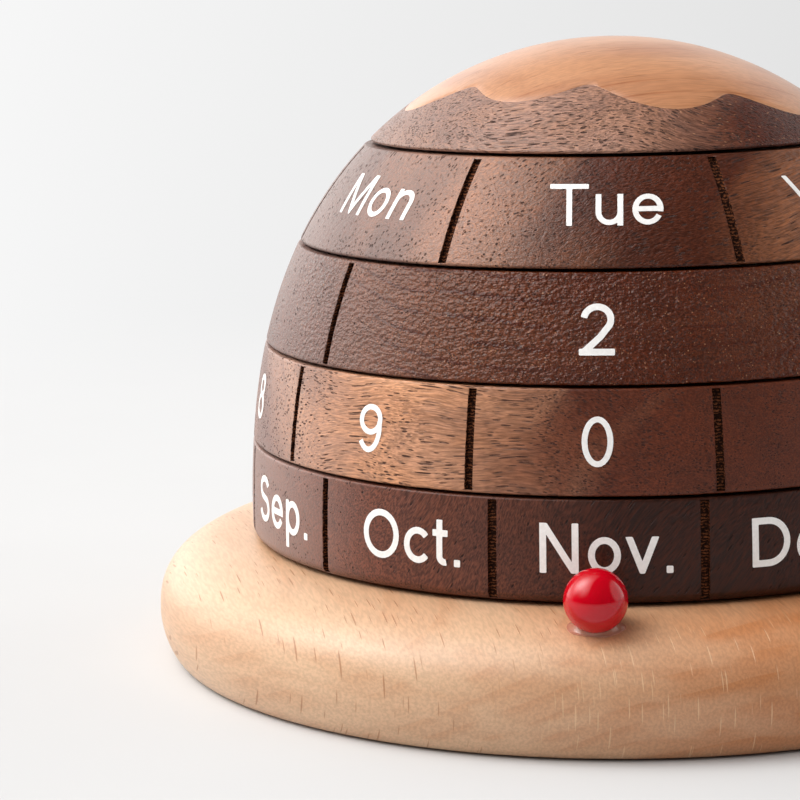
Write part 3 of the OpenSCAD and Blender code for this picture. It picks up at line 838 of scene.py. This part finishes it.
# Letter: width to the next one, lowest and highest line, and the pen's strokes
GLYPHS = {
    "A": (0.93, 0, 1, [[(0.075, -0.05), (0.465, 0.94), (0.855, -0.05)], [(0.2, 0.33), (0.73, 0.33)]]),
    "D": (1.008, 0, 1, [[(0.165, 0.5), (0.165, 0.924), (0.45, 0.924)]
                        + arc(0.45, 0.5, 0.4, 0.424, 80, -80)
                        + [(0.45, 0.076), (0.165, 0.076), (0.165, 0.5)]]),
    "F": (0.853, 0, 1, [[(0.185, 0), (0.185, 0.925), (0.8, 0.925)], [(0.185, 0.51), (0.73, 0.51)]]),
    "J": (0.698, 0, 1, [[(0.52, 1), (0.52, 0.3)] + arc(0.295, 0.3, 0.225, 0.226, 0, -172)]),
    "M": (1.163, 0, 1, [[(0.175, 0), (0.175, 1)], [(0.985, 0), (0.985, 1)],
                        [(0.17, 1.08), (0.58, 0.1), (0.99, 1.08)]]),
    "N": (1.008, 0, 1, [[(0.18, 0), (0.18, 1)], [(0.82, 0), (0.82, 1)], [(0.15, 1.05), (0.85, -0.05)]]),
    "O": (1.087, -0.02, 1.02, [arc(0.545, 0.5, 0.395, 0.436)]),
    "S": (0.93, -0.02, 1.02, [arc(0.465, 0.728, 0.27, 0.208, 18, 236)
                              + arc(0.465, 0.295, 0.3, 0.231, 58, -166)]),
    "T": (0.853, 0, 1, [[(0.03, 0.925), (0.823, 0.925)], [(0.427, 0), (0.427, 0.92)]]),
    "W": (1.318, 0, 1, [[(0.065, 1.08), (0.345, 0.09), (0.66, 0.91), (0.975, 0.09), (1.255, 1.08)]]),
    "a": (0.777, 0, 0.75, [arc(0.37, 0.475, 0.235, 0.19, 168, 0) + [(0.605, 0.14), (0.64, -0.02)],
                           [(0.605, 0.43), (0.42, 0.395), (0.31, 0.375)]
                           + arc(0.3, 0.222, 0.172, 0.153, 95, 262)
                           + arc(0.335, 0.3, 0.265, 0.235, 265, 352)]),
    "b": (0.777, 0, 1, [[(LEFT_STEM, 0), (LEFT_STEM, 1)], arc(0.4075, 0.3675, *BOWL)]),
    "c": (0.698, 0, 0.75, [arc(0.375, 0.3675, 0.26, 0.3, 40, 320)]),
    "d": (0.777, 0, 1, [[(0.612, 0), (0.612, 1)], arc(0.3695, 0.3675, *BOWL)]),
    "e": (0.777, 0, 0.75, [[(0.13, 0.375), (0.63, 0.375)], arc(0.385, 0.3675, 0.257, 0.3, -12, 331)]),
    "g": (0.777, -0.3, 0.75, [[(0.612, 0.735), (0.612, -0.04)]
                              + arc(0.37, -0.04, 0.242, 0.175, 0, -158),
                              arc(0.3695, 0.3675, *BOWL)]),
    "h": (0.777, 0, 1, [[(LEFT_STEM, 0), (LEFT_STEM, 1)], ARCH]),
    "i": (0.31, 0, 1, [[(0.155, 0), (0.155, 0.735)], [(0.155, 0.86), (0.155, 1)]]),
    "l": (0.31, 0, 1, [[(0.155, 0), (0.155, 1)]]),
    "n": (0.777, 0, 0.75, [[(LEFT_STEM, 0), (LEFT_STEM, 0.735)], ARCH]),
    "o": (0.777, 0, 0.75, [ROUND_O]),
    "p": (0.777, -0.29, 0.75, [[(LEFT_STEM, -0.29), (LEFT_STEM, 0.735)],
                               arc(0.4075, 0.3675, *BOWL)]),
    "r": (0.465, 0, 0.75, [[(LEFT_STEM, 0), (LEFT_STEM, 0.735)], arc(0.4, 0.4, 0.235, 0.26, 180, 72)]),
    "t": (0.388, 0, 1, [[(0.185, 0.93), (0.185, 0.19)] + arc(0.3, 0.19, 0.115, 0.117, 180, 288),
                        [(0.03, 0.66), (0.37, 0.66)]]),
    "u": (0.777, 0, 0.735, [[(0.165, 0.78), (0.165, 0.31)] + arc(0.385, 0.31, 0.22, 0.237, 180, 360),
                            [(0.605, 0), (0.605, 0.78)]]),
    "v": (0.698, 0, 0.735, [[(0.055, 0.82), (0.348, 0.06), (0.641, 0.82)]]),
    "y": (0.698, -0.29, 0.735, [[(0.055, 0.82), (0.35, 0.04)],
                                [(0.641, 0.82), (0.335, -0.03), (0.27, -0.15), (0.18, -0.212),
                                 (0.07, -0.212)]]),
    ".": (0.388, 0, 1, [[(0.19, 0), (0.19, 0.145)]]),
    "0": (0.777, -0.02, 1.02, [arc(0.388, 0.5, 0.25, 0.434)]),
    "1": (0.777, 0, 1, [[(0.43, 0), (0.43, 1)], [(0.45, 0.98), (0.17, 0.74)]]),
    "2": (0.777, 0, 1.02, [arc(0.385, 0.69, 0.25, 0.243, 172, -28) + [(0.44, 0.36), (0.12, 0.06)],
                           [(0.045, 0.075), (0.715, 0.075)]]),
    "3": (0.777, -0.02, 1.02, [arc(0.36, 0.73, 0.215, 0.2, 162, -90) + [(0.29, 0.53)],
                               [(0.29, 0.53)] + arc(0.36, 0.3, 0.26, 0.23, 90, -162)]),
    "4": (0.777, 0, 1, [[(0.555, 0), (0.555, 1)], [(0.72, 0.275), (0.1, 0.275), (0.6, 1.03)]]),
    "5": (0.777, -0.02, 1, [[(0.65, 0.925), (0.215, 0.925), (0.135, 0.47)],
                            arc(0.36, 0.32, 0.265, 0.252, 138, -158)]),
    "6": (0.777, -0.02, 1.02, [arc(0.39, 0.32, 0.25, 0.252),
                               arc(0.41, 0.49, 0.27, 0.44, 200, 38)]),
    "7": (0.777, 0, 1, [[(0.07, 0.925), (0.66, 0.925), (0.44, 0.6), (0.31, 0.28), (0.27, -0.05)]]),
    "8": (0.777, -0.02, 1.02, [arc(0.388, 0.737, 0.2, 0.197),
                               arc(0.388, 0.302, 0.25, 0.236)]),
    "9": (0.777, -0.02, 1.02, [arc(0.385, 0.68, 0.25, 0.252),
                               arc(0.365, 0.51, 0.27, 0.44, 20, -142)]),
}

# Cells that the letters are cut into, so that they bend with the dome; where the cuts
# start, and where they end along and up the letter
LETTER_CELL, CELLS_FROM, CELLS_TO = 0.085, -0.4, (1.4, 1.1)
# How deep the ink soaks in, and how far it stands out
INK_IN, INK_OUT = 0.03, 0.045


def draw_glyph(strokes, low, high, nib):
    """One flat letter, 1 thick, as a mesh: pen strokes joined and trimmed."""
    bm = bmesh.new()
    for stroke in strokes:
        closed = math.dist(stroke[0], stroke[-1]) < 1e-6
        verts = [bm.verts.new((x, y, 0)) for x, y in (stroke[:-1] if closed else stroke)]
        edges = [bm.edges.new(pair) for pair in zip(verts, verts[1:] + verts[:1] * closed)]
        wall = bmesh.ops.extrude_edge_only(bm, edges=edges)["geom"]
        bmesh.ops.translate(bm, vec=(0, 0, 1), verts=[g for g in wall if isinstance(g, bmesh.types.BMVert)])
    pen = make_object("pen", bm)
    thick = pen.modifiers.new("pen", "SOLIDIFY")
    thick.thickness = nib
    thick.offset = 0
    thick.use_even_offset = True
    bm = bmesh.new()
    bmesh.ops.create_cube(bm, size=1, matrix=Matrix.Translation((0.7, (low + high) / 2, 0.5))
                          @ Matrix.Diagonal((3, high - low, 2, 1)))
    lines = make_object("lines", bm)
    cut_with(pen, lines, "INTERSECT").use_self = True
    mesh = applied(pen)
    for thing in (pen, lines):
        bpy.data.objects.remove(thing)
    bm = bmesh.new()
    bm.from_mesh(mesh)
    bpy.data.meshes.remove(mesh)
    bmesh.ops.remove_doubles(bm, verts=bm.verts, dist=0.0005)
    bmesh.ops.dissolve_limit(bm, angle_limit=math.radians(1), verts=bm.verts, edges=bm.edges)
    corners = [e for e in bm.edges if abs(e.verts[0].co.z - e.verts[1].co.z) > 0.5
               and e.is_manifold and e.calc_face_angle() > math.radians(35)]
    bmesh.ops.bevel(bm, geom=corners, offset=0.02, segments=2, profile=0.5, affect="EDGES",
                    material=-1, clamp_overlap=True)
    for axis, last in zip((Vector((1, 0, 0)), Vector((0, 1, 0))), CELLS_TO):
        place = CELLS_FROM + LETTER_CELL / 3
        while place < last:
            bmesh.ops.bisect_plane(bm, geom=list(bm.verts) + list(bm.edges) + list(bm.faces),
                                   dist=0.0001, plane_co=axis * place, plane_no=axis)
            place += LETTER_CELL
    return make_mesh("letter", bm)


drawn = {}


def letter(character, nib):
    """A letter's mesh, drawn once for each width of the pen."""
    if (character, nib) not in drawn:
        _, low, high, strokes = GLYPHS[character]
        drawn[character, nib] = draw_glyph(strokes, low, high, nib)
    return drawn[character, nib]


# Degrees by which a word was printed off its place
NUDGES = {"Oct.": 0.7, "Wed": -1.4}


def print_labels(body, labels, first, height, size, nib):
    """Prints labels evenly round a ring, centred on their ink: the first one's angle, the
    height of their middle, and the size of a capital, with the pen's width a share of it."""
    bm = bmesh.new()
    for i, text in enumerate(labels):
        word = bmesh.new()
        pen_x = 0.0
        for character in text:
            before = set(word.verts)
            word.from_mesh(letter(character, nib))
            fresh = [v for v in word.verts if v not in before]
            bmesh.ops.translate(word, vec=(pen_x, 0, 0), verts=fresh)
            pen_x += GLYPHS[character][0]
        middle = (min(v.co.x for v in word.verts) + max(v.co.x for v in word.verts)) / 2
        angle = math.radians(first + i * 360 / len(labels) + NUDGES.get(text, 0))
        for v in word.verts:
            z = climb(height, (v.co.y - 0.5) * size)
            normal = dome_normal(z)
            lift = -INK_IN + (INK_IN + INK_OUT) * v.co.z
            r = dome_radius(z) + normal.x * lift
            a = angle + (v.co.x - middle) * size / dome_radius(z)
            v.co = (r * math.sin(a), -r * math.cos(a), z + normal.y * lift)
        joined = make_mesh("word", word)
        bm.from_mesh(joined)
        bpy.data.meshes.remove(joined)
    finish_piece(bm, body + "_lettering", body, [ink], sharp=50)


MONTHS = ["Nov.", "Dec.", "Jan.", "Feb.", "Mar.", "Apr.", "May", "Jun.", "Jul.", "Aug.", "Sep.", "Oct."]
WEEKDAYS = ["Tue", "Wed", "Thu", "Fri", "Sat", "Sun", "Mon"]
print_labels("month", MONTHS, first=1.17, height=23.9, size=6.35, nib=0.134)
print_labels("weekday", WEEKDAYS, first=1.4, height=65.6, size=6.25, nib=0.116)
print_labels("date_units", "0123456789", first=0.05, height=37.2, size=6.4, nib=0.113)
print_labels("date_tens", "2301", first=-0.05, height=50.75, size=6.7, nib=0.126)


# ---------------------------------------------------------------- parts inside

inside = {"foot_pad": pad_felt, "spindle": turned_steel, "tie_bolt": zinc_steel,
          "bolt_washer": zinc_steel, "crown_insert": drawn_brass, "index_pin": drawn_brass,
          "cap_slip_washer": pad_felt}
for body in SLOTS:
    inside[body + "_bush"] = moulded_nylon
    inside[body + "_slip_washer"] = pad_felt
for node, material in inside.items():
    nodes[node].data.materials.clear()
    nodes[node].data.materials.append(material)


# ---------------------------------------------------------------- studio

def paper_floor():
    """Matt white paper, painted a little darker to the right near the calendar as shade. Far behind the
    calendar, out of its shadow, the paper glows for the camera and in reflections: painted light, a little
    darker to the right."""
    material, tree = new_material("white_paper")
    place = add(tree, "TexCoord").outputs["Object"]
    split = add(tree, "SeparateXYZ", [place]).outputs
    tooth = add(tree, "TexNoise", [place, 25.0])
    colour = add(tree, "Mix", [tooth, linear("#cacbcc"), linear("#cdcecf")], **BLEND)
    # Painted shade: the paper near the calendar turns darker to the right
    painted_shade_right = add(tree, "MapRange", [split["X"], -0.06, 0.1], **SMOOTH)
    colour = add(tree, "Mix", [painted_shade_right, colour, linear("#c2c3c4")], **BLEND)
    paper = add(tree, "BsdfPrincipled", {"Base Color": colour, "Roughness": 0.9,
                                         "Specular IOR Level": 0.1})
    # The glow's painted light changes with the bearing from where the camera stands at the front, dimmer to
    # the right
    depth = add(tree, "Math", [split["Y"], STAND_OFF * MM], operation="ADD")
    depth = add(tree, "Math", [depth, 0.05], operation="MAXIMUM")
    bearing = add(tree, "Math", [split["X"], depth], operation="DIVIDE")
    behind = add(tree, "MapRange", [bearing, -0.26, 0.05, 0.925, 0.77])
    # In front the paper runs out of the light: a dimmer painted glow
    near = add(tree, "MapRange", [split["Y"], -0.2, 0.2], **SMOOTH)
    tone = add(tree, "Mix", [near, 0.52, behind], data_type="FLOAT")
    far = add(tree, "Emission", {"Color": (1, 1, 1, 1), "Strength": tone})
    path = add(tree, "LightPath").outputs
    seen = add(tree, "Math", [path["Is Glossy Ray"], path["Is Transmission Ray"]], operation="MAXIMUM")
    seen = add(tree, "Math", [path["Is Camera Ray"], seen], operation="MAXIMUM")
    reach = add(tree, "VectorMath", [place], operation="LENGTH")
    mask = add(tree, "MapRange", [reach, 0.13, 0.4], **SMOOTH)
    mask = add(tree, "Math", [seen, mask], operation="MULTIPLY")
    add(tree, "OutputMaterial", {"Surface": add(tree, "MixShader", [mask, paper, far])})
    return material


FLOOR_RADIUS_M = 9

bm = bmesh.new()
bmesh.ops.create_circle(bm, cap_ends=True, segments=128, radius=FLOOR_RADIUS_M)
floor = make_object("floor", bm)
floor.data.materials.append(paper_floor())


def soft_window(tree, look, bearing, height, across, up, strength, core=0.0):
    """Light from a diffused window: bright in the middle and fading to nothing. The
    middle's bearing from the back and height, and the half widths, are in degrees; core
    is the share of the width that is evenly bright."""
    b, h = math.radians(bearing), math.radians(height)
    middle = Vector((math.sin(b) * math.cos(h), math.cos(b) * math.cos(h), math.sin(h)))
    level = middle.cross(Vector((0, 0, 1))).normalized()
    rise = level.cross(middle)
    axes = (level / math.sin(math.radians(across)), rise / math.sin(math.radians(up)), -9 * middle)
    parts = [add(tree, "VectorMath", [look, axis], operation="DOT_PRODUCT") for axis in axes]
    off = add(tree, "VectorMath", [add(tree, "CombineXYZ", parts), (-100, -100, 0)], operation="MAXIMUM")
    reach = add(tree, "VectorMath", [off], operation="LENGTH")
    return add(tree, "MapRange", [reach, 1.0, core, 0.0, strength], **SMOOTH)


def glow(tree, look, windows):
    """The light of several soft windows together."""
    total = 0.0
    for window in windows:
        total = add(tree, "Math", [total, soft_window(tree, look, *window)], operation="ADD")
    return total


# Soft windows: bearing and height, half width and half height, strength and core
WINDOWS = ((-90, 47, 27, 42, 6.4), (-90, 60, 56, 62, 2.5), (-75, 9, 28, 22, 1.4), (-125, 44, 28, 34, 2.7))
CARDS = ((78, 20, 36, 34, 1.0, 0.7), (-42, 12, 50, 30, 2.0))
ROOM = ((-145, 40, 40, 40, 0.5), (180, 54, 75, 46, 1.2))

world = bpy.data.worlds.new("studio")
bpy.context.scene.world = world
world.use_nodes = True
tree = world.node_tree
tree.nodes.clear()
look = add(tree, "TexCoord").outputs["Generated"]
split = add(tree, "SeparateXYZ", [look]).outputs
# A large diffused window high on the left, cut off by its frame overhead
across_frame = add(tree, "VectorMath", [look, (0.9, -0.44, 0.0)], operation="DOT_PRODUCT")
through_frame = add(tree, "MapRange", [across_frame, 0.04, -0.04], **SMOOTH)
window = add(tree, "Math", [glow(tree, look, WINDOWS), through_frame], operation="MULTIPLY")
# Light scattered back from the room in front, too wide and dim to mirror in gloss
dull = add(tree, "Math", [1.0, add(tree, "LightPath").outputs["Is Glossy Ray"]], operation="SUBTRACT")
room = add(tree, "Math", [glow(tree, look, ROOM), dull, 0.05], operation="MULTIPLY_ADD")
# A white backdrop behind the table, up to 30 degrees
backdrop = within(tree, (split["Y"], 0.15, 0.5), (split["Z"], 0.66, 0.52, 0.0, 0.85))
# A white card on the right and a pale wall behind on the left, and all the rest
light = glow(tree, look, CARDS)
for part in (window, room, backdrop):
    light = add(tree, "Math", [light, part], operation="ADD")
shine = add(tree, "Background", {"Color": linear("#fffdfb"), "Strength": light})
add(tree, "OutputWorld", {"Surface": shine})


# ---------------------------------------------------------------- camera

# The camera's bearing, its tilt down and its roll; its focal length in the frame's pixels
PAN, PITCH, ROLL = math.radians(-6.755), math.radians(9.562), math.radians(-1.208)
FOCAL_PX, FRAME_PX, SENSOR = 2683.6, 800, 36.0

ahead = Vector((math.sin(PAN) * math.cos(PITCH), math.cos(PAN) * math.cos(PITCH), -math.sin(PITCH)))
level = Vector((math.cos(PAN), -math.sin(PAN), 0))
above = level.cross(ahead)
right = math.cos(ROLL) * level + math.sin(ROLL) * above
upward = -math.sin(ROLL) * level + math.cos(ROLL) * above
eye = Vector((STAND_OFF * math.sin(STAND_ANGLE), -STAND_OFF * math.cos(STAND_ANGLE), EYE_Z)) * MM

lens = bpy.data.cameras.new("camera")
lens.sensor_width = SENSOR
lens.lens = FOCAL_PX / FRAME_PX * SENSOR
lens.clip_start = 0.01
lens.clip_end = 50
camera = bpy.data.objects.new("camera", lens)
bpy.context.scene.collection.objects.link(camera)
camera.matrix_world = Matrix.Translation(eye) @ Matrix((right, upward, -ahead)).transposed().to_4x4()
bpy.context.scene.camera = camera

bpy.context.scene.view_settings.view_transform = "Standard"
